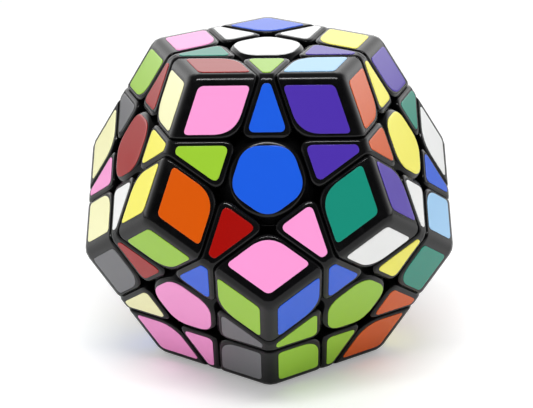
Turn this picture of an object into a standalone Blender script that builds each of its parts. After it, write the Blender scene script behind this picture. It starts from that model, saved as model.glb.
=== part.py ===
"""Dodecahedron twisty puzzle: twelve turning faces around a ball core.

Sixty-two outer pieces (12 centres, 30 edges, 20 corners) make a regular dodecahedron.
Each face's layer is cut free by one surface of revolution about that face's axis: a flat
cut near the outside, then a cone for the necks and a wider cone for the feet. A corner lies
inside three of these layers, an edge inside two and a centre inside one, so the feet of the
corners are held under the edges, and the feet of the edges under the centres.

Three layers that share no piece are free to turn: left, right and bottom. Each has its own
centre, spring and screw. The other nine centres are one solid with the core.

Frame: origin at the centre of the core, where all twelve axes meet, +Z up through the top
face and -Y through the front face. Units are metres.
"""
import bpy
import bmesh
from itertools import combinations
from math import acos, asin, cos, radians, sin, sqrt, tau
from mathutils import Matrix, Vector

# Outside
EDGE_LENGTH = 0.0300          # edge of the sharp dodecahedron
LAYER_THICKNESS = 0.0117      # from a face down to the flat cut that frees its layer
RIDGE_ROUND = 0.0016          # width of the rounding where two faces meet

# Necks and feet that hold the pieces together
NECK_ANGLE = radians(42.5)    # half angle of the cone around a layer at the necks
FOOT_ANGLE = radians(49.0)    # half angle of the cone around a layer at the feet
LEDGE_DROP = 0.0005           # foot tops below the flat cut
FOOT_THICKNESS = 0.0050       # height of the feet

# Core, with a post on each axis
BALL_CLEARANCE = 0.0029       # free space between the feet and the ball
POST_CLEARANCE = 0.0004       # free space between the feet and a post
POST_RISE = 0.0008            # posts reach this far above the underside of the feet

# Screw and spring in a centre
CAP_THICKNESS = 0.0026        # solid top of a centre
CUP_FLOOR_RISE = 0.0008       # spring seat above the foot tops
SCREW_RADIUS = 0.0015
SCREW_BITE = 0.0030           # depth of the screw inside the ball
HEAD_RADIUS = 0.0029
HEAD_HEIGHT = 0.0018
HEAD_ROOM = 0.0012            # space over the screw head
SPRING_WIRE = 0.0007          # diameter of the wire
SPRING_PITCH = 0.00115

# Gaps
CUT_GAP = 0.0003              # between two pieces that turn past each other
SEAT_GAP = 0.0003             # between two pieces that rest on or in each other

# Fineness
TURN_STEPS = 30               # sides of a layer's cut, a multiple of five so that copies fit
ROUND_STEPS = 20              # sides of a post, a bore or a screw
COIL_STEPS = 10               # points in a turn of the spring
RIDGE_STEPS = 2               # faces across a rounded ridge

# Worked out from the sizes above
AXIS_ANGLE = acos(1 / sqrt(5))                     # between two neighbouring axes
INRADIUS = EDGE_LENGTH * sqrt(250 + 110 * sqrt(5)) / 20
CIRCUMRADIUS = EDGE_LENGTH * (sqrt(15) + sqrt(3)) / 4
REACH = 2 * CIRCUMRADIUS                           # cutters reach past the outside
CUT_DEPTH = INRADIUS - LAYER_THICKNESS
FOOT_TOP = CUT_DEPTH - LEDGE_DROP
FOOT_BOTTOM = FOOT_TOP - FOOT_THICKNESS
BALL_RADIUS = FOOT_BOTTOM - BALL_CLEARANCE
POST_RADIUS = FOOT_BOTTOM * sin(AXIS_ANGLE - FOOT_ANGLE) - POST_CLEARANCE
POST_TOP = FOOT_BOTTOM + POST_RISE
POST_ROOT = BALL_RADIUS - SCREW_BITE
STEM_BOTTOM = POST_TOP + SEAT_GAP
CUP_FLOOR = FOOT_TOP + CUP_FLOOR_RISE
CUP_TOP = INRADIUS - CAP_THICKNESS
CUP_RADIUS = HEAD_RADIUS + 2 * SEAT_GAP
BORE_RADIUS = SCREW_RADIUS + SEAT_GAP
HEAD_TOP = CUP_TOP - HEAD_ROOM
HEAD_SEAT = HEAD_TOP - HEAD_HEIGHT
SCREW_END = POST_ROOT + SEAT_GAP
SPRING_RADIUS = HEAD_RADIUS - SPRING_WIRE / 2      # to the middle of the wire

FACES = ("top", "front", "right", "rear_right", "rear_left", "left", "back",
         "lower_left", "lower_right", "rear_lower_right", "rear_lower_left", "bottom")
UPPER_RING = ("front", "right", "rear_right", "rear_left", "left")
OPPOSITES = {"bottom": "top", "back": "front", "rear_lower_left": "right",
             "lower_left": "rear_right", "lower_right": "rear_left",
             "rear_lower_right": "left"}
TURNING = ("left", "right", "bottom")              # faces whose layers turn


def face_axes():
    """Outward unit normals of the twelve faces, by name."""
    axes = {"top": Vector((0, 0, 1))}
    for step, name in enumerate(UPPER_RING):
        azimuth = radians(-90 + 72 * step)
        level = Vector((cos(azimuth), sin(azimuth), 0))
        axes[name] = level * sin(AXIS_ANGLE) + axes["top"] * cos(AXIS_ANGLE)
    for name, opposite in OPPOSITES.items():
        axes[name] = -axes[opposite]
    return axes


AXES = face_axes()


def neighbours(*faces):
    """Whether all the faces share an edge with each other."""
    return all(AXES[a].dot(AXES[b]) > 0.4 for a, b in combinations(faces, 2))


def ring(face):
    """The five faces around a face."""
    return [other for other in FACES if other != face and neighbours(face, other)]


def face_frame(face, beside):
    """Rotation that takes +Z to a face's axis, with +X on the side of a neighbour."""
    axis = AXES[face]
    across = (AXES[beside] - axis * axis.dot(AXES[beside])).normalized()
    return Matrix((across, axis.cross(across), axis)).transposed().to_4x4()


def axis_frame(axis):
    """Rotation that takes +Z to an axis."""
    return Vector((0, 0, 1)).rotation_difference(axis).to_matrix().to_4x4()


# Collections and materials

for old in list(bpy.data.objects):
    bpy.data.objects.remove(old, do_unlink=True)


def new_collection(name):
    collection = bpy.data.collections.new(name)
    bpy.context.scene.collection.children.link(collection)
    return collection


def plain_material(name, colour, roughness, metallic):
    material = bpy.data.materials.new(name)
    material.use_nodes = True
    shader = material.node_tree.nodes["Principled BSDF"]
    shader.inputs["Base Color"].default_value = (*colour, 1.0)
    shader.inputs["Roughness"].default_value = roughness
    shader.inputs["Metallic"].default_value = metallic
    return material


PUZZLE = new_collection("dodecahedron_twisty_puzzle")
CUTTERS = new_collection("cutters")
BLACK_ABS = plain_material("black_abs", (0.012, 0.012, 0.013), 0.32, 0.0)
CORE_PLASTIC = plain_material("core_plastic", (0.030, 0.030, 0.032), 0.45, 0.0)
SPRING_STEEL = plain_material("spring_steel", (0.55, 0.56, 0.58), 0.28, 1.0)
SCREW_STEEL = plain_material("screw_steel", (0.42, 0.42, 0.43), 0.35, 1.0)


# Making and cutting solids

def link_object(name, data, collection):
    made = bpy.data.objects.new(name, data)
    collection.objects.link(made)
    return made


def as_tool(tool):
    """Marks an object as one that only cuts or joins others."""
    tool.display_type = "WIRE"
    tool.hide_render = True
    return tool


def turned(name, profile, steps):
    """Solid turned about Z, from (radius, height) points that run down its outer side."""
    mesh = bpy.data.meshes.new(name)
    points = [(radius, 0, height) for radius, height in profile]
    mesh.from_pydata(points, [(i, i + 1) for i in range(len(points) - 1)], [])
    made = link_object(name, mesh, CUTTERS)
    lathe = made.modifiers.new("lathe", "SCREW")
    lathe.steps = steps
    lathe.render_steps = steps
    lathe.use_merge_vertices = True
    lathe.merge_threshold = 1e-7
    return as_tool(made)


def cylinder(name, radius, bottom, top):
    """Upright cylinder about Z."""
    profile = [(0, top), (radius, top), (radius, bottom), (0, bottom)]
    return turned(name, profile, ROUND_STEPS)


def combine(target, operation, tool):
    """Exact Boolean of a tool on a target."""
    step = target.modifiers.new(tool.name, "BOOLEAN")
    step.operation = operation
    step.solver = "EXACT"
    step.object = tool


def finished_mesh(source):
    """The source's shape as a mesh, with each flat area as one face. The source goes."""
    bpy.context.view_layer.update()
    depsgraph = bpy.context.evaluated_depsgraph_get()
    mesh = bpy.data.meshes.new_from_object(source.evaluated_get(depsgraph))
    mesh.name = source.name
    bpy.data.objects.remove(source, do_unlink=True)
    work = bmesh.new()
    work.from_mesh(mesh)
    bmesh.ops.remove_doubles(work, verts=work.verts, dist=2e-6)
    bmesh.ops.dissolve_limit(work, angle_limit=radians(0.05), verts=work.verts, edges=work.edges)
    bmesh.ops.triangulate(work, faces=work.faces)
    work.to_mesh(mesh)
    work.free()
    mesh.shade_smooth()
    mesh.set_sharp_from_angle(angle=radians(25))
    mesh.materials.clear()
    mesh.materials.append(None)
    return mesh


def place(name, mesh, matrix, material, carrier=None):
    """One piece of the puzzle, carried by an empty on its layer's axis if it turns."""
    made = link_object(name, mesh, PUZZLE)
    made.material_slots[0].link = "OBJECT"
    made.material_slots[0].material = material
    if carrier:
        made.parent = carrier
        made.matrix_parent_inverse = carrier.matrix_world.inverted()
    made.matrix_basis = matrix
    return made


# The outside, and the surface that frees a layer

def rounded_dodecahedron(name):
    """All twelve faces as one solid with rounded ridges, before it is cut into pieces."""
    work = bmesh.new()
    for faces in combinations(FACES, 3):
        if neighbours(*faces):
            middle = sum((AXES[face] for face in faces), Vector())
            work.verts.new(CIRCUMRADIUS * middle.normalized())
    bmesh.ops.convex_hull(work, input=work.verts)
    bmesh.ops.dissolve_limit(work, angle_limit=radians(1), verts=work.verts, edges=work.edges)
    bmesh.ops.recalc_face_normals(work, faces=work.faces)
    mesh = bpy.data.meshes.new(name)
    work.to_mesh(mesh)
    work.free()
    made = link_object(name, mesh, CUTTERS)
    rounding = made.modifiers.new("ridges", "BEVEL")
    rounding.width = RIDGE_ROUND
    rounding.segments = RIDGE_STEPS
    rounding.limit_method = "NONE"
    return made


def layer_profile(offset):
    """Outline of a layer, moved out by an offset: flat cut, neck cone, ledge, foot cone."""
    def on_cone(angle, radius):
        turn = angle + asin(offset / radius)
        return radius * sin(turn), radius * cos(turn)

    flat = CUT_DEPTH - offset
    shoulder = (offset + flat * sin(NECK_ANGLE)) / cos(NECK_ANGLE)
    ledge = FOOT_TOP + offset
    end = FOOT_BOTTOM * cos(FOOT_ANGLE) / 2
    end_radius = (offset + end * sin(FOOT_ANGLE)) / cos(FOOT_ANGLE)
    return [(0, REACH), (REACH, REACH), (REACH, flat), (shoulder, flat),
            on_cone(NECK_ANGLE, ledge), on_cone(FOOT_ANGLE, ledge),
            (end_radius, end), (0, end)]


def make_layers(side, offset, faces):
    """Cutters with the space of each face's layer, by face."""
    made = {}
    for face in faces:
        made[face] = turned(f"layer_{face}_{side}", layer_profile(offset), TURN_STEPS)
        made[face].matrix_basis = face_frame(face, ring(face)[0]) @ STAGGER
    return made


# A part step, so that the sides of neighbouring cuts don't meet edge on edge
STAGGER = Matrix.Rotation(tau / TURN_STEPS * 0.25, 4, "Z")
INSIDE = make_layers("inside", -CUT_GAP / 2, ("top", "front", "right"))
OUTSIDE = make_layers("outside", CUT_GAP / 2, UPPER_RING)


def outer_piece(name, inside, outside, bottom):
    """Piece that is inside some layers and outside others, down to a flat underside."""
    made = rounded_dodecahedron(name)
    for face in inside:
        combine(made, "INTERSECT", INSIDE[face])
    for face in outside:
        combine(made, "DIFFERENCE", OUTSIDE[face])
    middle = sum((AXES[face] for face in inside), Vector())
    limit = cylinder(f"{name}_limit", REACH, bottom, REACH)
    limit.matrix_basis = axis_frame(middle.normalized())
    combine(made, "INTERSECT", limit)
    return made


# One corner, one edge and one centre, each at the top front of the puzzle

def make_corner():
    """Corner with its neck and foot, inside three layers."""
    return finished_mesh(outer_piece("corner", ("top", "front", "right"), (), FOOT_BOTTOM))


def make_edge():
    """Edge with its neck and foot, inside two layers."""
    return finished_mesh(outer_piece("edge", ("top", "front"), ("left", "right"), FOOT_BOTTOM))


def make_centre():
    """Turning centre: a cup for the spring and screw head, with a bore for the screw."""
    made = outer_piece("centre", ("top",), UPPER_RING, STEM_BOTTOM)
    hollow = [(0, CUP_TOP), (CUP_RADIUS, CUP_TOP), (CUP_RADIUS, CUP_FLOOR),
              (BORE_RADIUS, CUP_FLOOR), (BORE_RADIUS, POST_ROOT), (0, POST_ROOT)]
    combine(made, "DIFFERENCE", turned("centre_hollow", hollow, ROUND_STEPS))
    return finished_mesh(made)


def make_fixed_centre():
    """Centre that is one solid with its post."""
    made = outer_piece("fixed_centre", ("top",), UPPER_RING, STEM_BOTTOM)
    combine(made, "UNION", cylinder("fixed_post", POST_RADIUS, POST_ROOT, CUP_FLOOR))
    return finished_mesh(made)


def make_post():
    """Post for a turning centre."""
    made = cylinder("post", POST_RADIUS, POST_ROOT, POST_TOP)
    return finished_mesh(made)


def make_screw():
    """Screw that holds a turning centre on its post."""
    profile = [(0, HEAD_TOP), (HEAD_RADIUS, HEAD_TOP), (HEAD_RADIUS, HEAD_SEAT),
               (SCREW_RADIUS, HEAD_SEAT), (SCREW_RADIUS, SCREW_END), (0, SCREW_END)]
    return finished_mesh(turned("screw", profile, ROUND_STEPS))


def make_spring():
    """Coil spring between the floor of a centre's cup and the screw head."""
    start = CUP_FLOOR + SEAT_GAP + SPRING_WIRE / 2
    rise = HEAD_SEAT - SEAT_GAP - SPRING_WIRE / 2 - start
    turns = rise / SPRING_PITCH
    count = int(turns * COIL_STEPS)
    curve = bpy.data.curves.new("spring", "CURVE")
    curve.dimensions = "3D"
    curve.bevel_depth = SPRING_WIRE / 2
    curve.bevel_resolution = 2
    curve.use_fill_caps = True
    wire = curve.splines.new("POLY")
    wire.points.add(count)
    for index, point in enumerate(wire.points):
        share = index / count
        angle = tau * turns * share
        level = start + rise * share
        point.co = (SPRING_RADIUS * cos(angle), SPRING_RADIUS * sin(angle), level, 1)
    return finished_mesh(as_tool(link_object("spring", curve, CUTTERS)))


CORNER = make_corner()
EDGE = make_edge()
CENTRE = make_centre()
SCREW = make_screw()
SPRING = make_spring()


# Placing the pieces

def copy_matrix(faces):
    """Rotation that takes the piece made at the top and front to the given faces."""
    first, second = faces[:2]
    if len(faces) == 3:
        a, b, c = (AXES[face] for face in faces)
        if a.cross(b).dot(c) < 0:
            first, second = second, first
    return face_frame(first, second) @ face_frame("top", "front").inverted()


def make_carriers():
    """An empty on each turning layer's axis, its Z along the axis."""
    carriers = {}
    for face in TURNING:
        carrier = link_object(f"{face}_layer", None, PUZZLE)
        carrier.matrix_world = face_frame(face, ring(face)[0])
        carrier.empty_display_size = INRADIUS
        carriers[face] = carrier
    bpy.context.view_layer.update()
    return carriers


def carrier_of(faces):
    """The empty of the turning layer that a piece belongs to, if there is one."""
    return next((CARRIERS[face] for face in faces if face in CARRIERS), None)


def place_outer_pieces():
    for faces in combinations(FACES, 2):
        if neighbours(*faces):
            name = "edge_" + "_".join(faces)
            place(name, EDGE, copy_matrix(faces), BLACK_ABS, carrier_of(faces))
    for faces in combinations(FACES, 3):
        if neighbours(*faces):
            name = "corner_" + "_".join(faces)
            place(name, CORNER, copy_matrix(faces), BLACK_ABS, carrier_of(faces))


def place_turning_centres():
    """The centre, spring and screw of each turning layer. The screw stays with the core."""
    for face in TURNING:
        matrix = copy_matrix((face, ring(face)[0]))
        place(f"centre_{face}", CENTRE, matrix, BLACK_ABS, CARRIERS[face])
        place(f"spring_{face}", SPRING, matrix, SPRING_STEEL, CARRIERS[face])
        place(f"screw_{face}", SCREW, matrix, SCREW_STEEL)


def make_core():
    """Ball with twelve posts: three bored for screws, nine joined to their centres."""
    bpy.ops.mesh.primitive_ico_sphere_add(subdivisions=3, radius=BALL_RADIUS)
    made = bpy.context.active_object
    made.name = "core"
    fixed = make_fixed_centre()
    post = make_post()
    for face in FACES:
        mesh = post if face in TURNING else fixed
        tool = as_tool(link_object(f"core_{face}", mesh, CUTTERS))
        tool.matrix_basis = copy_matrix((face, ring(face)[0]))
        combine(made, "UNION", tool)
    for face in TURNING:
        tool = cylinder(f"bore_{face}", BORE_RADIUS, POST_ROOT, REACH)
        tool.matrix_basis = copy_matrix((face, ring(face)[0])) @ STAGGER
        combine(made, "DIFFERENCE", tool)
    return finished_mesh(made)


CARRIERS = make_carriers()
place_outer_pieces()
place_turning_centres()
place("core_with_fixed_centres", make_core(), Matrix(), CORE_PLASTIC)
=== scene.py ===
"""Looks of a dodecahedron twisty puzzle, in the order in which it is put together.

Ball core, centres, springs, washers, screws, edges, corners, caps and stickers. Each outer
piece is one closed surface: an outside of two or more faces with a rounded ridge, walls where
the layers are cut apart, a neck and a foot. Units are metres.
"""
from itertools import combinations
from math import acos, cos, pi, radians, sin, sqrt, tan, tau

import bmesh
import bpy
import numpy as np
from mathutils import Matrix, Vector


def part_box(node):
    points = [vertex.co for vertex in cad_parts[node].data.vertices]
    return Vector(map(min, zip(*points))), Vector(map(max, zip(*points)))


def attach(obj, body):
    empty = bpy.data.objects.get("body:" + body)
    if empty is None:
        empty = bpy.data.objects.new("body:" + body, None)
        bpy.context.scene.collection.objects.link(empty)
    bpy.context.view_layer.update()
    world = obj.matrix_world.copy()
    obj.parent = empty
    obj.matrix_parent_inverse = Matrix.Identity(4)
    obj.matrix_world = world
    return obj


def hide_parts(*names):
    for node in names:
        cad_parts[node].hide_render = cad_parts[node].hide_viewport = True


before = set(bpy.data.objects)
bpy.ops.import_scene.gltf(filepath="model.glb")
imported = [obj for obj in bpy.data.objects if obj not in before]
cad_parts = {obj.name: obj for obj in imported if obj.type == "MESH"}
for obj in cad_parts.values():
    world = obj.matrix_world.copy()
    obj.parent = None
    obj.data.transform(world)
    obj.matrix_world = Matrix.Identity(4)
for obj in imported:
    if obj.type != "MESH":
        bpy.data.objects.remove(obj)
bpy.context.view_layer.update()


# ---------------------------------------------------------------------------------------------
# The core: one ball of dark nylon with twelve hollow posts, moulded in one go. Every screw bites
# into a post, so this is the chassis that all twelve layers turn on.

face_names = ("top", "front", "right", "rear_right", "rear_left", "left", "back",
              "lower_left", "lower_right", "rear_lower_right", "rear_lower_left", "bottom")
upper_ring = ("front", "right", "rear_right", "rear_left", "left")
opposites = {"bottom": "top", "back": "front", "rear_lower_left": "right",
             "lower_left": "rear_right", "lower_right": "rear_left",
             "rear_lower_right": "left"}
turning = ("left", "right", "bottom")
axis_angle = acos(1 / sqrt(5))                         # between two neighbouring axes
face_distance = -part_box("centre_bottom")[0].z          # from the middle of the core to a face
layer_thickness = 0.0117
cut_depth = face_distance - layer_thickness            # to the flat cut under each layer
foot_top = cut_depth - 0.0005
foot_bottom = foot_top - 0.0050
foot_angle = radians(49.0)                             # half angle of a layer at the feet
ball_radius = foot_bottom - 0.0029
post_radius = foot_bottom * sin(axis_angle - foot_angle) - 0.0004
post_top = foot_bottom + 0.0008
post_root = ball_radius - 0.0030
bore_radius = 0.0018
core_columns = 60                                      # points round one post
core_dark = (0.030, 0.030, 0.032)
core_pale = (0.042, 0.042, 0.045)
sharp_angle = 32                                       # degrees, from which a crease stays sharp

axes = {"top": np.array((0.0, 0.0, 1.0))}
for step, name in enumerate(upper_ring):
    azimuth = radians(-90 + 72 * step)
    level = np.array((cos(azimuth), sin(azimuth), 0.0))
    axes[name] = level * sin(axis_angle) + axes["top"] * cos(axis_angle)
for name, opposite in opposites.items():
    axes[name] = -axes[opposite]


def ring(face):
    """The five faces around a face."""
    return [other for other in face_names if 0.4 < axes[face] @ axes[other] < 0.9]


def unit(vectors):
    """Each vector divided by its length."""
    return vectors / np.linalg.norm(vectors, axis=-1, keepdims=True)


def across(axis, beside):
    """The direction at right angles to an axis that leans towards another."""
    return unit(beside - axis * (axis @ beside))


def spokes(axis, first, azimuths):
    """Unit vectors across an axis: cos(a) times the first plus sin(a) times the one after it."""
    second = np.cross(axis, first)
    return np.cos(azimuths)[:, None] * first + np.sin(azimuths)[:, None] * second


def body_of(faces):
    """The body that a piece on these faces rides on."""
    return next((f"{face}_layer" for face in faces if face in turning), "puzzle_core")


def rounded(path, trims, steps=3):
    """A polyline of rows with its corners rounded.

    At a corner P with unit directions a and b to its neighbours, the corner becomes the
    quadratic arc P + a r (1-t)^2 + b r t^2, with r its trim, at most 0.45 of a side.
    """
    rows = [path[0]]
    for before, corner, after, trim in zip(path, path[1:], path[2:], trims):
        to_before, to_after = before - corner, after - corner
        lengths = np.linalg.norm(to_before, axis=-1), np.linalg.norm(to_after, axis=-1)
        r = np.minimum(trim, 0.45 * np.minimum(*lengths))[:, None]
        for t in np.linspace(0, 1, steps + 1):
            rows.append(corner + unit(to_before) * r * (1 - t) ** 2 + unit(to_after) * r * t ** 2)
    return rows + [path[-1]]


def turned_rows(axis, around, profile):
    """Rows of points (radius, height) of a profile turned about an axis."""
    return [radius * around + height * axis for radius, height in profile]


def grid_faces(index):
    """Quads between the rows of an index table whose columns close on each other."""
    near, far = index[:-1], index[1:]
    quads = np.stack((near, far, np.roll(far, -1, 1), np.roll(near, -1, 1)), -1)
    return quads.reshape(-1, 4)


def make_mesh(name, points, faces, smooth=sharp_angle):
    """Mesh of points and quads, where a quad that names a point twice is a triangle."""
    mesh = bpy.data.meshes.new(name)
    corners = [list(dict.fromkeys(face)) for face in faces.tolist()]
    mesh.from_pydata(points.reshape(-1, 3).tolist(), [], corners)
    mesh.validate()
    mesh.shade_smooth()
    mesh.set_sharp_from_angle(angle=radians(smooth))
    return mesh


def skin(name, rows, closed=False, smooth=sharp_angle):
    """Closed surface over rows of points, each row one turn around an axis.

    The first and last rows are poles, taken as one point each, or with closed the last row
    joins the first. Rows run down the outside, so that (along) x (around) points outwards.
    """
    grid = np.stack(rows)
    count, columns = grid.shape[:2]
    index = np.arange(count * columns).reshape(count, columns)
    if closed:
        return make_mesh(name, grid, grid_faces(np.vstack((index, index[:1]))), smooth)
    points = np.vstack((grid[:1, 0], grid[1:-1].reshape(-1, 3), grid[-1:, 0]))
    index = np.vstack((np.zeros((1, columns), int), index[:-2] + 1,
                       np.full((1, columns), len(points) - 1)))
    return make_mesh(name, points, grid_faces(index), smooth)


def add_piece(name, mesh, material, slot, body, *nodes):
    """Puts a finished mesh in the scene as a piece that rides on a body and stands for nodes."""
    made = bpy.data.objects.new(name, mesh)
    bpy.context.scene.collection.objects.link(made)
    mesh.materials.clear()
    mesh.materials.append(material)
    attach(made, body)
    if nodes:
        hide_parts(*nodes)


def core_patch(face):
    """The core's share around one axis: bore, post, and the ball out to the neighbours' shares.

    The ball's rows run from the post to the line where the angle to the nearest neighbouring
    axis equals the angle to this one: tan(edge angle) = tan(half the axis angle) / cos(azimuth).
    """
    axis = axes[face]
    azimuths = np.arange(core_columns) * tau / core_columns
    around = spokes(axis, across(axis, axes[ring(face)[0]]), azimuths)
    profile = [(0, post_root), (bore_radius, post_root), (bore_radius, post_top),
               (post_radius, post_top), (post_radius, sqrt(ball_radius ** 2 - post_radius ** 2))]
    rows = turned_rows(axis, around, profile)
    offset = (azimuths + pi / 5) % (tau / 5) - pi / 5
    edge = np.arctan(tan(axis_angle / 2) / np.cos(offset))
    post_edge = np.arcsin(post_radius / ball_radius)
    for share in (0.12, 0.3, 0.5, 0.75, 1.0):
        turn = (post_edge + (edge - post_edge) * share)[:, None]
        rows.append(ball_radius * (np.sin(turn) * around + np.cos(turn) * axis))
    return rounded(rows, (0.0001, 0.0003, 0.0004, 0.0005), 2) + rows[6:]


def join_patches(name, patches):
    """One closed mesh of patches whose borders meet point on point."""
    work = bmesh.new()
    for patch in patches:
        grid = np.stack(patch)
        index = np.arange(grid.shape[0] * grid.shape[1]).reshape(grid.shape[:2])
        part = make_mesh(name, grid, grid_faces(index))
        work.from_mesh(part)
        bpy.data.meshes.remove(part)
    bmesh.ops.remove_doubles(work, verts=work.verts, dist=2e-6)
    mesh = bpy.data.meshes.new(name)
    work.to_mesh(mesh)
    work.free()
    mesh.shade_smooth()
    mesh.set_sharp_from_angle(angle=radians(sharp_angle))
    return mesh


def node_group(name, inputs, outputs):
    """Empty shader node group with named inputs, as name: starting value, and named outputs."""
    group = bpy.data.node_groups.new(name, "ShaderNodeTree")
    for label, value in inputs.items():
        socket = group.interface.new_socket(label, in_out="INPUT", socket_type="NodeSocketFloat")
        socket.default_value = value
    for label in outputs:
        group.interface.new_socket(label, in_out="OUTPUT", socket_type="NodeSocketFloat")
    return group, group.nodes.new("NodeGroupInput"), group.nodes.new("NodeGroupOutput")


def noise(tree, vector, scale, detail):
    """Noise texture on a vector, with a scale that is a number or a socket."""
    made = tree.nodes.new("ShaderNodeTexNoise")
    made.inputs["Detail"].default_value = detail
    tree.links.new(vector, made.inputs["Vector"])
    if isinstance(scale, (int, float)):
        made.inputs["Scale"].default_value = scale
    else:
        tree.links.new(scale, made.inputs["Scale"])
    return made.outputs["Fac"]


def calculate(tree, operation, first, second, third=None):
    """Math node on sockets or numbers."""
    made = tree.nodes.new("ShaderNodeMath")
    made.operation = operation
    for socket, value in zip(made.inputs, (first, second, third)):
        if isinstance(value, (int, float)):
            socket.default_value = value
        elif value is not None:
            tree.links.new(value, socket)
    return made.outputs["Value"]


def spread(tree, value, low, high, low_out, high_out):
    """Map Range node: a value between two limits spread between two others, clamped."""
    made = tree.nodes.new("ShaderNodeMapRange")
    limits = {"From Min": low, "From Max": high, "To Min": low_out, "To Max": high_out}
    for label, number in limits.items():
        made.inputs[label].default_value = number
    tree.links.new(value, made.inputs["Value"])
    return made.outputs["Result"]


def mixed(tree, share, first, second):
    """Mix of two colours, each of them a tuple or a socket."""
    made = tree.nodes.new("ShaderNodeMix")
    made.data_type = "RGBA"
    tree.links.new(share, made.inputs["Factor"])
    for socket, colour in ((made.inputs[6], first), (made.inputs[7], second)):
        if isinstance(colour, tuple):
            socket.default_value = (*colour, 1.0)
        else:
            tree.links.new(colour, socket)
    return made.outputs[2]


# Moulded grain: even fine pits from the mould's steel, with slow waves from uneven shrinkage
moulded_grain, inputs, outputs = node_group(
    "moulded_grain", {"Pits": 1800.0, "Waves": 90.0}, ("Height", "Blotches"))
place = moulded_grain.nodes.new("ShaderNodeTexCoord").outputs["Object"]
pits = noise(moulded_grain, place, inputs.outputs["Pits"], 3)
waves = noise(moulded_grain, place, inputs.outputs["Waves"], 4)
wave_share = 2.5                                       # height of the waves to that of the pits
height = calculate(moulded_grain, "MULTIPLY_ADD", waves, wave_share, pits)
moulded_grain.links.new(height, outputs.inputs["Height"])
moulded_grain.links.new(waves, outputs.inputs["Blotches"])


def new_material(name):
    """Material with one Principled shader, which is returned with the tree."""
    material = bpy.data.materials.new(name)
    material.use_nodes = True
    return material, material.node_tree, material.node_tree.nodes["Principled BSDF"]


def use_group(tree, group, **values):
    """A node group placed in a material with its own values."""
    made = tree.nodes.new("ShaderNodeGroup")
    made.node_tree = group
    for label, value in values.items():
        made.inputs[label].default_value = value
    return made


def bump(tree, shader, height, distance):
    """Bump of a height in metres times a distance, into the shader's normal."""
    made = tree.nodes.new("ShaderNodeBump")
    made.inputs["Distance"].default_value = distance
    tree.links.new(height, made.inputs["Height"])
    tree.links.new(made.outputs["Normal"], shader.inputs["Normal"])


def nylon(name, colour, pale):
    """Matt moulded nylon: blotches of two tones over a coarse grain."""
    material, tree, shader = new_material(name)
    grain = use_group(tree, moulded_grain, Pits=1500.0, Waves=120.0)
    blotches = spread(tree, grain.outputs["Blotches"], 0.35, 0.65, 0.0, 1.0)
    tree.links.new(mixed(tree, blotches, colour, pale), shader.inputs["Base Color"])
    rough = spread(tree, grain.outputs["Blotches"], 0.3, 0.7, 0.42, 0.58)
    tree.links.new(rough, shader.inputs["Roughness"])
    bump(tree, shader, grain.outputs["Height"], 0.00003)
    return material


core_nylon = nylon("core_nylon", core_dark, core_pale)
core_mesh = join_patches("core_ball", [core_patch(face) for face in face_names])
add_piece("core_ball", core_mesh, core_nylon, "core_plastic", "puzzle_core",
          "core_with_fixed_centres")


# ---------------------------------------------------------------------------------------------
# Twelve centres of black ABS, one on each post. A centre is a pentagonal cup with a bored stem:
# its slanted walls hold the five edges, and spring, washer and screw sit in the cup.

cut_gap = 0.0003                                       # between pieces that turn past each other
seat_gap = 0.0003                                      # between pieces that rest on each other
neck_angle = radians(42.5)                             # half angle of a layer at the necks
cap_bottom = face_distance - 0.0026
cup_top = cap_bottom - 0.00006                         # leaves a hairline seam under the cap
head_radius = 0.0029
cup_radius = head_radius + 2 * seat_gap
cup_floor = foot_top + 0.0008
stem_bottom = post_top + seat_gap
centre_round = 0.0053                                  # rounding between a centre's five walls
neck_round = 0.0008                                    # rounding on necks and at their roots
widening_start = 0.0290                                # how far out the walls' rounding widens
widening_length = 0.0035
wear_width = 0.0011                                    # of the rubbed band along a crease
wear_depth = 0.0006                                    # how far it reaches under the outside
centre_columns = 80
halvings = 24                                          # to 2 nanometres of a surface
abs_black = (0.0022, 0.0022, 0.0024)
abs_grey = (0.0040, 0.0040, 0.0043)
abs_worn = (0.0080, 0.0080, 0.0084)


def soft_max(values, width):
    """The largest of some fields, with the crease between two rounded over a width.

    max(a, b) + max(width - |a - b|, 0)^2 / (4 width), folded over the fields.
    """
    total = values[0]
    for value in values[1:]:
        rounding = np.maximum(width - np.abs(total - value), 0) ** 2 / (4 * width)
        total = np.maximum(total, value) + rounding
    return total


def layer_field(points, n):
    """Negative in the layer of an axis n, which is over its flat cut or in its neck cone."""
    up = points @ n
    out = np.sqrt(np.maximum((points ** 2).sum(-1) - up ** 2, 0))
    cone = out * cos(neck_angle) - up * sin(neck_angle)
    return -soft_max([up - cut_depth, -cone], neck_round)


def wall_field(points, inside, outside, width):
    """Negative where a piece may be: inside some layers, outside others, half a gap from each.

    The rounding between walls has the given width outside and narrows towards the neck.
    """
    fields = [cut_gap / 2 + layer_field(points, n) for n in inside]
    fields += [cut_gap / 2 - layer_field(points, n) for n in outside]
    out = np.linalg.norm(points, axis=-1)
    share = np.clip((out - widening_start) / widening_length, 0, 1)
    return soft_max(fields, neck_round + (width - neck_round) * share)


def reach(field, start, rays, far=0.03):
    """Distance along each ray at which a field turns positive, found by halving."""
    low = np.zeros(rays.shape[:-1])
    high = np.full_like(low, far)
    for _ in range(halvings):
        middle = (low + high) / 2
        inside = field(start + middle[..., None] * rays) < 0
        low = np.where(inside, middle, low)
        high = np.where(inside, high, middle)
    return low[..., None]


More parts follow.
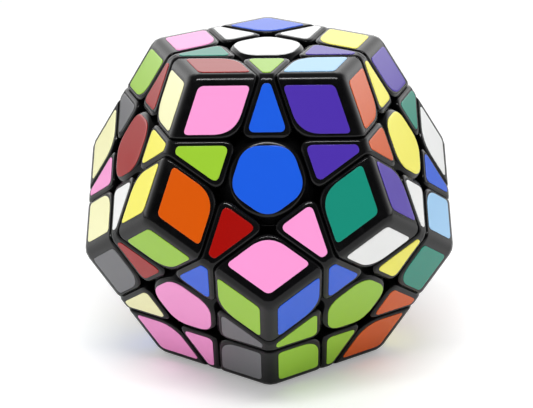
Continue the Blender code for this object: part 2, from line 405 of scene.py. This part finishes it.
def cone_limit(axis, around, inside, outside, angle, width=0.05):
    """Tangent of the angle from an axis, along each spoke, that keeps in or out of some cones.

    Along x = axis + t spoke, the cone of half angle A about n is met where
    n.axis + t n.spoke = cos(A) sqrt(1 + t^2), a quadratic in t. The least is taken, softly.
    """
    limits = []
    for cones, side in ((inside, 1), (outside, -1)):
        edge = cos(angle - side * cut_gap / 2 / foot_top)
        for n in cones:
            a, b = n @ axis, around @ n
            root = np.sqrt(np.maximum(a * a + b * b - edge * edge, 0))
            limit = (a * b + side * edge * root) / (edge * edge - b * b)
            met = (a * a + b * b > edge * edge) & (limit > 0)
            limits.append(np.where(met, limit, 9.0))
    return -soft_max([-limit for limit in limits], width)[:, None]


def crowded(outline, count):
    """Azimuths for an outline given at even azimuths: equal shares of its length and turning."""
    sides = np.roll(outline, -1, 0) - outline
    lengths = np.linalg.norm(sides, axis=-1)
    way = sides / lengths[:, None]
    bend = np.arccos(np.clip((way * np.roll(way, 1, 0)).sum(-1), -1, 1))
    weight = lengths / lengths.sum() + (bend + np.roll(bend, -1)) / 2 / bend.sum()
    total = np.concatenate(([0], np.cumsum(weight)))
    even = np.linspace(0, tau, len(outline) + 1)
    return np.interp(np.arange(count) / count * total[-1], total, even)


even_azimuths = np.linspace(0, tau, 360, endpoint=False)


def centre_field(points):
    """The walls' field of the top centre, which stands in none of its five neighbours' layers."""
    return wall_field(points, [], [axes[face] for face in ring("top")], centre_round)


def centre_walls(height, around):
    """Row on the walls of the top centre at a height: the axis plus each spoke times its reach."""
    start = height * axes["top"]
    return start + around * reach(centre_field, start, around)


def centre_mesh():
    """The top centre as one loop of section: lip, walls, neck, stem, bore, cup floor, cup wall."""
    axis = axes["top"]
    first = across(axis, axes["front"])
    others = [axes[face] for face in ring("top")]
    outline = centre_walls(cup_top, spokes(axis, first, even_azimuths))
    around = spokes(axis, first, crowded(outline, centre_columns))
    drops = (0.0006, 0.0012, 0.0020, 0.0026, 0.0030, 0.0034, 0.0040, 0.0055, 0.0075)
    walls = [centre_walls(cup_top - drop, around) for drop in drops]
    stem = cone_limit(axis, around, [], others, foot_angle)
    ledge = (foot_top + cut_gap / 2) * unit(axis + stem * around)
    neck_end = centre_walls(foot_top + 0.0004, around)
    lip = rounded([cup_radius * around + cup_floor * axis, cup_radius * around + cup_top * axis,
                   centre_walls(cup_top, around), walls[0]], (0.0002, 0.0003))
    tail = rounded([neck_end, ledge, stem_bottom * (axis + stem * around),
                    bore_radius * around + stem_bottom * axis,
                    bore_radius * around + cup_floor * axis, lip[0]],
                   (0.0003, 0.0004, 0.0002, 0.0002))
    return skin("centre", lip + walls[1:] + tail[:-1], closed=True)


def mark_wear(mesh, fields):
    """Stores in the point attribute wear how near each point is to a crease between two fields.

    1 - |a - b| / the wear's width, not below 0, where a and b are fields that meet in a crease.
    """
    points = np.empty(len(mesh.vertices) * 3)
    mesh.vertices.foreach_get("co", points)
    points = points.reshape(-1, 3)
    values = [field(points) for field in fields]
    near = [1 - np.abs(a - b) / wear_width for a, b in combinations(values, 2)]
    outer = np.max(values, axis=0) > -wear_depth
    wear = np.clip(np.max(near, axis=0), 0, 1) * outer
    mesh.attributes.new("wear", "FLOAT", "POINT").data.foreach_set("value", wear)
    return mesh


def turn_to(face, beside):
    """Rotation that takes the top and front faces to a face and one beside it."""
    def frame_of(one, other):
        side = across(axes[one], axes[other])
        return Matrix(np.stack((side, np.cross(axes[one], side), axes[one]), -1).tolist())

    return (frame_of(face, beside) @ frame_of("top", "front").inverted()).to_4x4()


def copy_of(mesh, face, beside):
    """Copy of a mesh made at the top, turned to another face with its place in its points."""
    made = mesh.copy()
    made.transform(turn_to(face, beside))
    return made


# Handling wear: where the wear attribute is high and a noise agrees, plastic is rubbed. The
# smears are a wide noise that any surface may use.
handling_wear, inputs, outputs = node_group(
    "handling_wear", {"Patches": 260.0, "Amount": 0.5}, ("Rubbed", "Smears"))
attribute = handling_wear.nodes.new("ShaderNodeAttribute")
attribute.attribute_name = "wear"
place = handling_wear.nodes.new("ShaderNodeTexCoord").outputs["Object"]
patches = noise(handling_wear, place, inputs.outputs["Patches"], 5)
smears = noise(handling_wear, place, 60.0, 6)
needed = spread(handling_wear, patches, 0.35, 0.70, 0.0, 1.0)
rubbed = calculate(handling_wear, "MULTIPLY", attribute.outputs["Fac"], needed)
rubbed = calculate(handling_wear, "MULTIPLY", rubbed, inputs.outputs["Amount"])
handling_wear.links.new(rubbed, outputs.inputs["Rubbed"])
handling_wear.links.new(smears, outputs.inputs["Smears"])


def abs_plastic(name):
    """Satin black ABS: two blacks over a fine grain, a little paler and duller where rubbed."""
    material, tree, shader = new_material(name)
    grain = use_group(tree, moulded_grain, Pits=2600.0, Waves=140.0)
    wear = use_group(tree, handling_wear, Patches=240.0, Amount=0.55)
    blotches = spread(tree, grain.outputs["Blotches"], 0.35, 0.65, 0.0, 1.0)
    body_colour = mixed(tree, blotches, abs_black, abs_grey)
    worn_colour = mixed(tree, wear.outputs["Rubbed"], body_colour, abs_worn)
    tree.links.new(worn_colour, shader.inputs["Base Color"])
    satin = spread(tree, wear.outputs["Smears"], 0.3, 0.7, 0.11, 0.19)
    dulled = calculate(tree, "MULTIPLY", wear.outputs["Rubbed"], 0.08)
    tree.links.new(calculate(tree, "ADD", satin, dulled), shader.inputs["Roughness"])
    shader.inputs["IOR"].default_value = 1.36
    bump(tree, shader, grain.outputs["Height"], 0.000003)
    return material


black_abs = abs_plastic("black_abs")
centre_master = centre_mesh()
mark_wear(centre_master, [lambda points: points @ axes["top"] - cup_top, centre_field])
for face in face_names:
    stands_for = f"centre_{face}" if face in turning else "core_with_fixed_centres"
    add_piece(f"centre_cup_{face}", copy_of(centre_master, face, ring(face)[0]), black_abs,
              "black_abs", body_of([face]), stands_for)


# ---------------------------------------------------------------------------------------------
# Twelve coil springs of drawn steel wire, one in each cup. They press the centres down on the
# core, so that the layers hold together and still give a little when a turn is off line.

wire = 0.0007
head_top = cap_bottom - 0.0012
head_seat = head_top - 0.0018
spring_low = cup_floor + seat_gap + wire / 2
spring_high = head_seat - seat_gap - wire / 2
spring_turns = 5.0
spring_points = 131                                    # along the wire
wire_sides = 12
spring_dark = (0.56, 0.56, 0.58)
spring_pale = (0.66, 0.66, 0.68)


def spring_mesh():
    """Tube along a helix, whose ends are wound closer than its middle.

    The height goes with t - 0.2 sin(2 pi t) / (2 pi), and the tube is a circle across the helix.
    """
    t = np.linspace(0, 1, spring_points)[:, None]
    angle = tau * spring_turns * t
    height = spring_low + (spring_high - spring_low) * (t - 0.2 * np.sin(tau * t) / tau)
    radius = head_radius - wire / 2
    centre = np.hstack((radius * np.cos(angle), radius * np.sin(angle), height))
    along = unit(np.gradient(centre, axis=0))
    outward = np.hstack((np.cos(angle), np.sin(angle), 0 * angle))
    aside = np.cross(along, outward)
    turn = np.linspace(0, tau, wire_sides, endpoint=False)[:, None, None]
    rings = centre + wire / 2 * (np.cos(turn) * outward - np.sin(turn) * aside)
    rings = rings.transpose(1, 0, 2)
    ends = [np.repeat(centre[i][None], wire_sides, 0) for i in (0, -1)]
    return skin("spring", [ends[0], *rings, ends[1]], smooth=50)


def steel(name, colour, pale, rough):
    """Bare or plated steel: two tones of metal and a roughness that both follow a noise."""
    material, tree, shader = new_material(name)
    grain = use_group(tree, moulded_grain, Pits=3000.0, Waves=500.0)
    blotches = spread(tree, grain.outputs["Blotches"], 0.35, 0.65, 0.0, 1.0)
    tree.links.new(mixed(tree, blotches, colour, pale), shader.inputs["Base Color"])
    drawn = spread(tree, grain.outputs["Blotches"], 0.3, 0.7, rough, rough + 0.12)
    tree.links.new(drawn, shader.inputs["Roughness"])
    shader.inputs["Metallic"].default_value = 1.0
    return material


spring_steel = steel("spring_steel", spring_dark, spring_pale, 0.22)
spring_master = spring_mesh()
for face in face_names:
    add_piece(f"spring_coil_{face}", copy_of(spring_master, face, ring(face)[0]), spring_steel,
              "spring_steel", body_of([face]), *([f"spring_{face}"] if face in turning else []))


# ---------------------------------------------------------------------------------------------
# Twelve stamped steel washers, each between a spring and its screw's head. They let the head
# stay still while the centre turns under it.

washer_inner = 0.0017
washer_outer = 0.0033
washer_low = head_seat - 0.00025
washer_high = head_seat - 0.00005
washer_round = 0.00006
turned_columns = 48                                    # points round a washer or a screw
washer_steel = steel("washer_steel", (0.50, 0.50, 0.49), (0.60, 0.60, 0.58), 0.30)


def washer_mesh():
    """Flat ring: a rectangle with rounded corners, turned about the axis."""
    axis = axes["top"]
    azimuths = np.arange(turned_columns) * tau / turned_columns
    around = spokes(axis, across(axis, axes["front"]), azimuths)
    profile = [(washer_inner, washer_low), (washer_inner, washer_high),
               (washer_outer, washer_high), (washer_outer, washer_low)]
    rows = rounded(turned_rows(axis, around, profile + profile[:2]), (washer_round,) * 4, 2)
    return skin("washer", rows[1:-1], closed=True)


washer_master = washer_mesh()
for face in face_names:
    add_piece(f"washer_{face}", copy_of(washer_master, face, ring(face)[0]), washer_steel,
              "screw_steel", body_of([face]))


# ---------------------------------------------------------------------------------------------
# Twelve cross-head screws of plated steel. Each holds its washer, spring and centre on a post,
# and how far it is driven in sets how stiffly that face turns. They stay with the core.

screw_end = post_root + seat_gap
shank_radius = 0.0012
thread_radius = 0.0015
thread_pitch = 0.0008
thread_top = 0.0190
thread_steps = 8                                       # rows of points in one turn of the thread
dome = 0.0002                                          # drop from the head's middle to its rim
slot_half = 0.00052                                    # half the width of a slot of the cross
slot_slope = 0.00016                                   # over which its sides slope down
slot_reach = 0.0019
slot_fade = 0.0007
slot_depth = 0.0011


def cross_recess(points):
    """Depth of the driver's cross at points on the head: two crossed slots that fade outwards."""
    x, y = np.abs(points[:, 0]), np.abs(points[:, 1])
    in_slot = np.clip((slot_half - np.minimum(x, y)) / slot_slope, 0, 1)
    in_reach = np.clip((slot_reach - np.maximum(x, y)) / slot_fade, 0, 1)
    return slot_depth * in_slot * in_reach


def screw_mesh():
    """Domed head with its cross, plain shank, and a thread that runs round to the point.

    The thread's radius goes with the distance of (azimuth / 2 pi - height / pitch) from a whole
    number, and fades in at its top and tapers at its point.
    """
    axis = axes["top"]
    azimuths = np.arange(turned_columns) * tau / turned_columns
    around = spokes(axis, across(axis, axes["front"]), azimuths)
    rows = []
    for radius in (0, 0.2e-3, 0.4e-3, 0.6e-3, 0.8e-3, 1.0e-3, 1.2e-3, 1.4e-3, 1.6e-3, 1.8e-3, 2.0e-3,
                   2.4e-3):
        row = radius * around + (head_top - dome * (radius / head_radius) ** 2) * axis
        rows.append(row - cross_recess(row)[:, None] * axis)
    profile = [(0.0024, head_top - 0.7 * dome), (head_radius, head_top - dome),
               (head_radius, head_seat), (shank_radius, head_seat), (shank_radius, thread_top)]
    rows += rounded(turned_rows(axis, around, profile), (0.0003, 0.0001, 0.0002))[1:]
    for height in np.arange(thread_top, screw_end + 0.0004, -thread_pitch / thread_steps):
        phase = (azimuths / tau - height / thread_pitch) % 1
        crest = np.clip(1.2 - 4 * np.abs(phase - 0.5), 0, 1)
        fade = np.clip((thread_top - height) / 0.0006, 0, 1)
        taper = np.clip((height - screw_end) / 0.0016, 0.35, 1)
        radius = (shank_radius + (thread_radius - shank_radius) * crest * fade) * taper
        rows.append(radius[:, None] * around + height * axis)
    rows += turned_rows(axis, around, [(0.0003, screw_end), (0, screw_end)])
    return skin("screw", rows, smooth=38)


screw_steel = steel("screw_steel", (0.40, 0.40, 0.41), (0.52, 0.51, 0.50), 0.26)
screw_master = screw_mesh()
for face in face_names:
    add_piece(f"cross_screw_{face}", copy_of(screw_master, face, ring(face)[0]), screw_steel,
              "screw_steel", "puzzle_core", *([f"screw_{face}"] if face in turning else []))


# ---------------------------------------------------------------------------------------------
# Thirty edges of black ABS with two faces each. An edge's foot reaches under two centres and
# its neck stands between them, so it slides round either centre and can't fall out.

film = 0.00012                                         # thickness of a sticker
plastic_distance = face_distance - film                # plastic faces, under the stickers
ridge_round = 0.00135                                  # rounding between the outer faces
rim_round = 0.0005                                     # rounding from a face over into a wall
edge_round = 0.0026                                    # rounding between an edge's walls
edge_middle = 0.0330                                   # where an edge's rays start
edge_columns = 96


def crowd(shares, even):
    """Shares from 0 to 1 drawn together near 0: even q + (1 - even) sinh(4 q) / sinh(4)."""
    return even * shares + (1 - even) * np.sinh(4 * shares) / float(np.sinh(4))


def set_normals(mesh, field, number):
    """Give the first points of a mesh the slope of its field as their normals.

    The slope is the field's difference over a small step each way. The other points get a
    normal of no length, which leaves theirs to the mesh.
    """
    points = np.empty(3 * len(mesh.vertices))
    mesh.vertices.foreach_get("co", points)
    points = points.reshape(-1, 3)
    step = 1e-6 * np.eye(3)
    slopes = np.zeros(points.shape)
    for way in range(3):
        ahead, behind = points[:number] + step[way], points[:number] - step[way]
        slopes[:number, way] = field(ahead) - field(behind)
    lengths = np.maximum(np.linalg.norm(slopes, axis=1, keepdims=True), 1e-12)
    mesh.normals_split_custom_set_from_vertices((slopes / lengths).tolist())


def moulded_piece(name, faces, ends, wall_round, middle_distance, count):
    """One closed surface of a piece inside the layers of its faces and outside those of its ends.

    From a point in its middle, rays fan out from the axis by an angle. The outside and walls are
    where the fields of faces and walls, joined by a soft maximum, turn positive. Rows crowd at
    the rim, where the two fields are equal. Then come the neck, the foot's ledge and its base.
    """
    normals, others = [axes[f] for f in faces], [axes[f] for f in ends]
    axis = unit(sum(normals))
    first = across(axis, normals[0])
    middle = middle_distance * axis

    def face_part(x):
        return soft_max([x @ n - plastic_distance for n in normals], ridge_round)

    def wall_part(x):
        return wall_field(x, normals, others, wall_round)

    def whole(x):
        return soft_max([face_part(x), wall_part(x)], rim_round)

    def shell(angles, around, field=whole):
        rays = np.cos(angles)[..., None] * axis + np.sin(angles)[..., None] * around
        return middle + rays * reach(field, middle, rays)

    def angle_to(points, around):
        from_middle = points - middle
        return np.arctan2((from_middle * around).sum(-1), from_middle @ axis)

    fan = np.linspace(0.02, 3.0, 150)
    around = spokes(axis, first, even_azimuths)
    angles = fan[:, None] + np.zeros(len(even_azimuths))
    surface = shell(angles, around, lambda x: np.maximum(face_part(x), wall_part(x)))
    lead = face_part(surface) - wall_part(surface)
    after = np.argmax(lead < 0, axis=0)
    column = np.arange(len(even_azimuths))
    high, low = lead[after - 1, column], lead[after, column]
    rim = fan[after - 1] + (fan[after] - fan[after - 1]) * high / (high - low)
    azimuths = crowded(shell(rim, around), count)
    rim = np.interp(azimuths, even_azimuths, rim, period=tau)
    around = spokes(axis, first, azimuths)

    neck = unit(axis + cone_limit(axis, around, normals, others, neck_angle) * around)
    root = angle_to(cut_depth / cos(neck_angle) * neck, around)
    end = angle_to((foot_top + 0.0005) * neck, around)
    q = np.linspace(0, 1, 19)[:, None]
    outer = rim * (1 - crowd(q[::-1], 0.5))
    q = np.linspace(0, 1, 11)[1:, None]
    walls = rim + (root - rim) * crowd(q, 0.4)
    q = np.linspace(0, 1, 5)[1:, None]
    angles = np.vstack((outer, walls, root + (end - root) * q))
    rows = list(shell(angles, around))
    foot = cone_limit(axis, around, normals, others, foot_angle)
    tail = rounded([rows[-1], (foot_top - cut_gap / 2) * unit(axis + foot * around),
                    foot_bottom * (axis + foot * around), foot_bottom * axis + 0 * around],
                   (0.0004, 0.0005))
    mesh = skin(name, rows + tail[1:])
    set_normals(mesh, whole, 1 + (len(rows) - 1) * count)
    fields = [lambda x, n=n: x @ n - plastic_distance for n in normals]
    return mark_wear(mesh, fields + [wall_part])


edge_master = moulded_piece("edge", ("top", "front"), ("left", "right"), edge_round,
                            edge_middle, edge_columns)
for faces in combinations(face_names, 2):
    if axes[faces[0]] @ axes[faces[1]] > 0.4:
        label = "_".join(faces)
        add_piece(f"edge_piece_{label}", copy_of(edge_master, *faces), black_abs, "black_abs",
                  body_of(faces), f"edge_{label}")


# ---------------------------------------------------------------------------------------------
# Twenty corners of black ABS with three faces each. A corner's foot is held under its three
# neighbouring edges. The last ones are pressed in with a centre's screw let out a few turns.

corner_round = 0.0031                                  # rounding between a corner's three walls
corner_middle = 0.0335                                 # where a corner's rays start
corner_columns = 102
corner_master = moulded_piece("corner", ("top", "front", "right"), (), corner_round,
                              corner_middle, corner_columns)


def in_turn(faces):
    """Three faces that meet, in order round their corner: swapped if (a x b).c is negative."""
    a, b, c = (axes[face] for face in faces)
    return faces if np.cross(a, b) @ c > 0 else (faces[1], faces[0], faces[2])


for faces in combinations(face_names, 3):
    if all(axes[a] @ axes[b] > 0.4 for a, b in combinations(faces, 2)):
        label = "_".join(faces)
        add_piece(f"corner_piece_{label}", copy_of(corner_master, *in_turn(faces)[:2]), black_abs,
                  "black_abs", body_of(faces), f"corner_{label}")


# ---------------------------------------------------------------------------------------------
# Twelve pentagonal caps of black ABS, one snapped into each cup once its screw is set. A cap's
# plug grips the cup's wall, and its top is the middle of the face.

plug_outer = cup_radius - 0.0001
plug_inner = cup_radius - 0.0007
plug_reach = 0.0010                                    # below and above the cap's underside
cap_columns = 90


def cap_mesh():
    """Lid: top and walls joined by a soft maximum along rays from its base, then a hollow plug."""
    axis = axes["top"]
    first = across(axis, axes["front"])

    def whole(x):
        return soft_max([x @ axis - plastic_distance, centre_field(x)], rim_round)

    even = centre_walls(plastic_distance, spokes(axis, first, even_azimuths))
    azimuths = crowded(even, cap_columns)
    around = spokes(axis, first, azimuths)
    across_rim = (centre_walls(plastic_distance, around) * around).sum(-1)
    rim = np.arctan2(across_rim, plastic_distance - cap_bottom)
    q = np.linspace(0, 1, 15)[:, None]
    top = rim * (1 - crowd(q[::-1], 0.4))
    q = np.linspace(0, 1, 8)[1:, None]
    angles = np.vstack((top, rim + (pi / 2 - rim) * q))
    rays = np.cos(angles)[..., None] * axis + np.sin(angles)[..., None] * around
    rows = list(cap_bottom * axis + rays * reach(whole, cap_bottom * axis, rays))
    low, high = cap_bottom - plug_reach, cap_bottom + plug_reach
    plug = [(plug_outer, cap_bottom), (plug_outer, low), (plug_inner, low), (plug_inner, high),
            (0, high)]
    path = [rows[-2], rows[-1], *turned_rows(axis, around, plug)]
    trims = (0.00012, 0.0001, 0.0002, 0.0001, 0.0002)
    mesh = skin("cap", rows[:-1] + rounded(path, trims, 2)[1:])
    return mark_wear(mesh, [lambda x: x @ axis - plastic_distance, centre_field])


cap_master = cap_mesh()
for face in face_names:
    stands_for = [f"centre_{face}"] if face in turning else ["core_with_fixed_centres"]
    add_piece(f"cap_{face}", copy_of(cap_master, face, ring(face)[0]), black_abs, "black_abs",
              body_of([face]), *stands_for)


# ---------------------------------------------------------------------------------------------
# One hundred and thirty-two die-cut vinyl stickers in twelve colours, one on each face of each
# piece. They are pressed on last, and bend a little where they run on to a rounded ridge.

colours = {                                            # and how rough each ink dries
    "white": ((0.900, 0.905, 0.900), 0.16),
    "blue": ((0.012, 0.105, 0.720), 0.17),
    "yellow": ((0.950, 0.880, 0.110), 0.18),
    "red": ((0.345, 0.0045, 0.0030), 0.17),
    "purple": ((0.072, 0.031, 0.390), 0.17),
    "teal": ((0.009, 0.255, 0.180), 0.17),
    "grey": ((0.150, 0.150, 0.160), 0.18),
    "light_blue": ((0.340, 0.610, 0.900), 0.17),
    "pink": ((0.950, 0.330, 0.670), 0.18),
    "lime": ((0.320, 0.580, 0.035), 0.17),
    "cream": ((0.940, 0.920, 0.520), 0.18),
    "orange": ((0.660, 0.095, 0.0030), 0.17),
}
centre_colours = {
    "top": "white", "front": "blue", "right": "yellow", "left": "red",
    "rear_right": "purple", "rear_left": "teal", "back": "light_blue", "bottom": "grey",
    "lower_left": "pink", "lower_right": "lime", "rear_lower_left": "cream",
    "rear_lower_right": "orange",
}
# A scrambled state that turning can reach: the faces of each piece, and the colours on them
edge_colours = """
top front: lime blue; top right: purple yellow; top left: teal red;
top rear_right: white teal; top rear_left: white purple; front right: purple orange;
front left: lime yellow; front lower_left: red blue; front lower_right: pink blue;
right lower_right: white yellow; left lower_left: white red;
lower_left lower_right: grey lime; right rear_lower_right: blue white;
lower_right bottom: lime pink; right rear_right: teal light_blue;
left rear_lower_left: pink cream; lower_left bottom: pink red; rear_left left: pink grey;
lower_left rear_lower_left: cream light_blue; lower_right rear_lower_right: orange light_blue;
rear_right rear_left: teal purple; rear_right back: grey light_blue;
rear_right rear_lower_right: grey orange; rear_left back: lime orange;
rear_left rear_lower_left: cream grey; back rear_lower_right: cream teal;
back rear_lower_left: light_blue purple; back bottom: red cream;
rear_lower_right bottom: orange yellow; rear_lower_left bottom: yellow blue
"""
corner_colours = """
top front right: light_blue purple orange; front top left: pink red cream;
top right rear_right: yellow purple white; top rear_left left: pink grey lime;
right front lower_right: purple teal white; front left lower_left: orange yellow lime;
front lower_left lower_right: pink lime blue;
right lower_right rear_lower_right: light_blue teal purple;
lower_left left rear_lower_left: grey cream light_blue;
lower_right lower_left bottom: lime grey orange;
lower_left rear_lower_left bottom: pink blue red;
rear_lower_right lower_right bottom: yellow orange purple;
top rear_right rear_left: blue lime yellow; rear_right right rear_lower_right: red white teal;
left rear_left rear_lower_left: cream red teal; rear_left rear_right back: blue yellow white;
back rear_right rear_lower_right: light_blue cream teal;
rear_left back rear_lower_left: light_blue orange grey;
back rear_lower_right bottom: blue white red; rear_lower_left back bottom: pink cream grey
"""


sticker_reach = 0.015                                  # more than from any middle to an outline
pressed_in = 0.00003                                   # of the vinyl's underside, in the plastic


def sticker_mesh(name, beside, ends, margins, inner_round, tip_round, count):
    """Sticker on the top face of a piece that also has the faces beside, between some ends.

    Its outline keeps margins in the plane of the face from the ridges, from the cuts that run
    along them and from the ends' cuts, with the creases rounded. Near a ridge it sinks with the
    plastic: by max(width - lead, 0)^2 / (4 width), with lead the depth under the other face.
    """
    axis = axes["top"]
    ridge_margin, cut_margin, end_margin = margins
    lean = sin(axis_angle)
    near, far = [axes[f] for f in beside], [axes[f] for f in ends]
    first = across(axis, sum(near) if near else far[0])
    middle = face_distance * axis
    if near:
        out = (face_distance + cut_depth) / 2 - face_distance * cos(axis_angle)
        middle = middle + out / (near[0] @ first) * first

    def outline(x):
        ridges = [(x @ n - face_distance) / lean + ridge_margin for n in near]
        cuts = [(cut_depth - x @ n) / lean + cut_margin for n in near]
        sides = [(x @ n - cut_depth) / lean + end_margin for n in far]
        return soft_max([soft_max(cuts + sides, inner_round), *ridges], tip_round)

    around = spokes(axis, first, even_azimuths)
    azimuths = crowded(around * reach(outline, middle, around, sticker_reach), count)
    around = spokes(axis, first, azimuths)
    radius = reach(outline, middle, around, sticker_reach)

    def row(share, inset, depth):
        points = middle + around * np.maximum(share * radius - inset, 0)
        leads = [np.maximum(ridge_round - plastic_distance + points @ n, 0) for n in near]
        sink = sum(lead ** 2 for lead in leads) / (4 * ridge_round)
        return points - np.reshape(depth + sink, (-1, 1)) * axis

    low = film + pressed_in
    rows = [row(0, 0, 0), row(0.5, 0, 0), row(0.8, 0, 0), row(0.93, 0, 0), row(1, 0.00009, 0),
            row(1, 0.00003, 0.000015), row(1, 0, 0.00005), row(1, 0, low), row(0.9, 0, low),
            row(0.5, 0, low), row(0, 0, low)]
    return skin(name, rows, smooth=60)


def vinyl(colour, base, rough):
    """Printed satin vinyl: a colour and a roughness that drift a little over a wide noise."""
    material, tree, shader = new_material(f"sticker_{colour}")
    wear = use_group(tree, handling_wear, Patches=240.0, Amount=0.0)
    paler = tuple(0.98 * part + 0.001 for part in base)
    drift = spread(tree, wear.outputs["Smears"], 0.3, 0.7, 0.0, 1.0)
    tree.links.new(mixed(tree, drift, base, paler), shader.inputs["Base Color"])
    satin = spread(tree, wear.outputs["Smears"], 0.3, 0.7, rough - 0.02, rough + 0.04)
    tree.links.new(satin, shader.inputs["Roughness"])
    return material


def read_state(text):
    """Pairs of faces and colours from a list such as top front: lime blue; ..."""
    for entry in text.split(";"):
        faces, inked = entry.split(":")
        yield faces.split(), inked.split()


inks = {colour: vinyl(colour, *finish) for colour, finish in colours.items()}
centre_sticker = sticker_mesh("centre_sticker", (), ring("top"), margins=(0, 0, 0.00105),
                              inner_round=0.0033, tip_round=0.001, count=80)
for face, colour in centre_colours.items():
    made = copy_of(centre_sticker, face, ring(face)[0])
    add_piece(f"sticker_centre_{face}", made, inks[colour], f"sticker_{colour}", body_of([face]))

edge_sticker = sticker_mesh("edge_sticker", ("front",), ("left", "right"),
                            margins=(0.00160, 0.00160, 0.00100),
                            inner_round=0.0016, tip_round=0.0008, count=64)
for faces, inked in read_state(edge_colours):
    for face, beside, colour in zip(faces, faces[::-1], inked):
        made = copy_of(edge_sticker, face, beside)
        add_piece(f"sticker_edge_{face}_by_{beside}", made, inks[colour], f"sticker_{colour}",
                  body_of(faces))

corner_sticker = sticker_mesh("corner_sticker", ("front", "right"), (),
                              margins=(0.00215, 0.00120, 0),
                              inner_round=0.0042, tip_round=0.0011, count=72)
for faces, inked in read_state(corner_colours):
    for face, colour in zip(faces, inked):
        others = in_turn([face] + [f for f in faces if f != face])
        others = others[1:] if others[0] == face else [others[2], others[0]]
        made = copy_of(corner_sticker, face, others[0])
        add_piece(f"sticker_corner_{face}_by_{others[0]}_{others[1]}", made, inks[colour],
                  f"sticker_{colour}", body_of(faces))


# ---------------------------------------------------------------------------------------------
# The studio: a white table, a white room that is bright behind, a narrow strip light above and
# in front that draws one line along the upper ridge, and soft fill from left, right and above.

table_reach = 0.6
table_white = (0.90, 0.90, 0.90, 1.0)
table_glow = 0.27                                      # added for the camera's own rays
back_glow = 1.75                                       # of the room behind the puzzle
least_glow = 0.02                                      # of the room in front and all round
overhead_share = 0.08                                  # of the glow that is left high up
ground_share = 0.05                                    # and under the table's edge
room_seen = 1.5                                        # how white the camera's own rays see it

floor_mesh = bpy.data.meshes.new("floor")
floor_mesh.from_pydata([(-table_reach, -table_reach, 0), (table_reach, -table_reach, 0),
                        (table_reach, table_reach, 0), (-table_reach, table_reach, 0)],
                       [], [(0, 1, 2, 3)])
floor_mesh.transform(Matrix.Translation((0, 0, -face_distance - 0.0001)))
floor = bpy.data.objects.new("floor", floor_mesh)
bpy.context.scene.collection.objects.link(floor)
paper, tree, shader = new_material("white_table")
shader.inputs["Base Color"].default_value = table_white
shader.inputs["Roughness"].default_value = 0.6
shader.inputs["Emission Color"].default_value = (1.0, 1.0, 1.0, 1.0)
seen = tree.nodes.new("ShaderNodeLightPath").outputs["Is Camera Ray"]
tree.links.new(calculate(tree, "MULTIPLY", seen, table_glow), shader.inputs["Emission Strength"])
floor_mesh.materials.append(paper)

world = bpy.data.worlds.new("white_room")
bpy.context.scene.world = world
world.use_nodes = True
tree = world.node_tree
way = tree.nodes.new("ShaderNodeSeparateXYZ")
tree.links.new(tree.nodes.new("ShaderNodeTexCoord").outputs["Generated"], way.inputs["Vector"])
behind = spread(tree, way.outputs["Y"], -0.60, 0.30, 0.0, back_glow)
low_down = spread(tree, way.outputs["Z"], 0.20, 0.70, 1.0, overhead_share)
above_table = spread(tree, way.outputs["Z"], -0.02, 0.03, ground_share, 1.0)
behind = calculate(tree, "MULTIPLY", behind, above_table)
glow = calculate(tree, "MULTIPLY_ADD", behind, low_down, least_glow)
seen = tree.nodes.new("ShaderNodeLightPath").outputs["Is Camera Ray"]
glow = calculate(tree, "MAXIMUM", glow, calculate(tree, "MULTIPLY", seen, room_seen))
tree.links.new(glow, tree.nodes["Background"].inputs["Strength"])
tree.nodes["Background"].inputs["Color"].default_value = (1.0, 1.0, 1.0, 1.0)


def soft_light(name, place, width, depth, power, shines):
    """Area light at a place, turned to the puzzle. It is seen in gloss only if it shines."""
    light = bpy.data.lights.new(name, "AREA")
    light.shape = "RECTANGLE"
    light.size, light.size_y = width, depth
    light.energy = power
    made = bpy.data.objects.new(name, light)
    made.location = place
    made.rotation_euler = (-Vector(place)).to_track_quat("-Z", "Y").to_euler()
    made.visible_glossy = shines
    bpy.context.scene.collection.objects.link(made)


soft_light("strip_light", (0.0, -0.26, 0.72), width=0.44, depth=0.06, power=2.7, shines=True)
soft_light("left_fill", (-0.65, -0.68, 0.12), width=0.50, depth=0.50, power=3.6, shines=False)
soft_light("right_fill", (0.65, -0.68, 0.12), width=0.50, depth=0.50, power=2.7, shines=False)
soft_light("top_fill", (0.0, 0.05, 0.90), width=0.90, depth=0.90, power=3.0, shines=False)

camera_data = bpy.data.cameras.new("camera")
camera_data.lens = 117.0
camera_data.sensor_width = 36.0
camera_data.shift_x = -0.0045
camera_data.shift_y = -0.0160
camera_data.clip_start = 0.01
camera = bpy.data.objects.new("camera", camera_data)
camera_distance, camera_turn, camera_height = 0.3734, radians(0.46), radians(20.82)
camera_roll = radians(-0.72)
back_way = Vector((sin(camera_turn) * cos(camera_height), -cos(camera_turn) * cos(camera_height),
                   sin(camera_height)))
camera.location = camera_distance * back_way
camera.rotation_mode = "QUATERNION"
facing = (-back_way).to_track_quat("-Z", "Y").to_matrix().to_4x4()
camera.rotation_quaternion = (facing @ Matrix.Rotation(camera_roll, 4, "Z")).to_quaternion()
bpy.context.scene.collection.objects.link(camera)
bpy.context.scene.camera = camera
bpy.context.scene.view_settings.view_transform = "Standard"
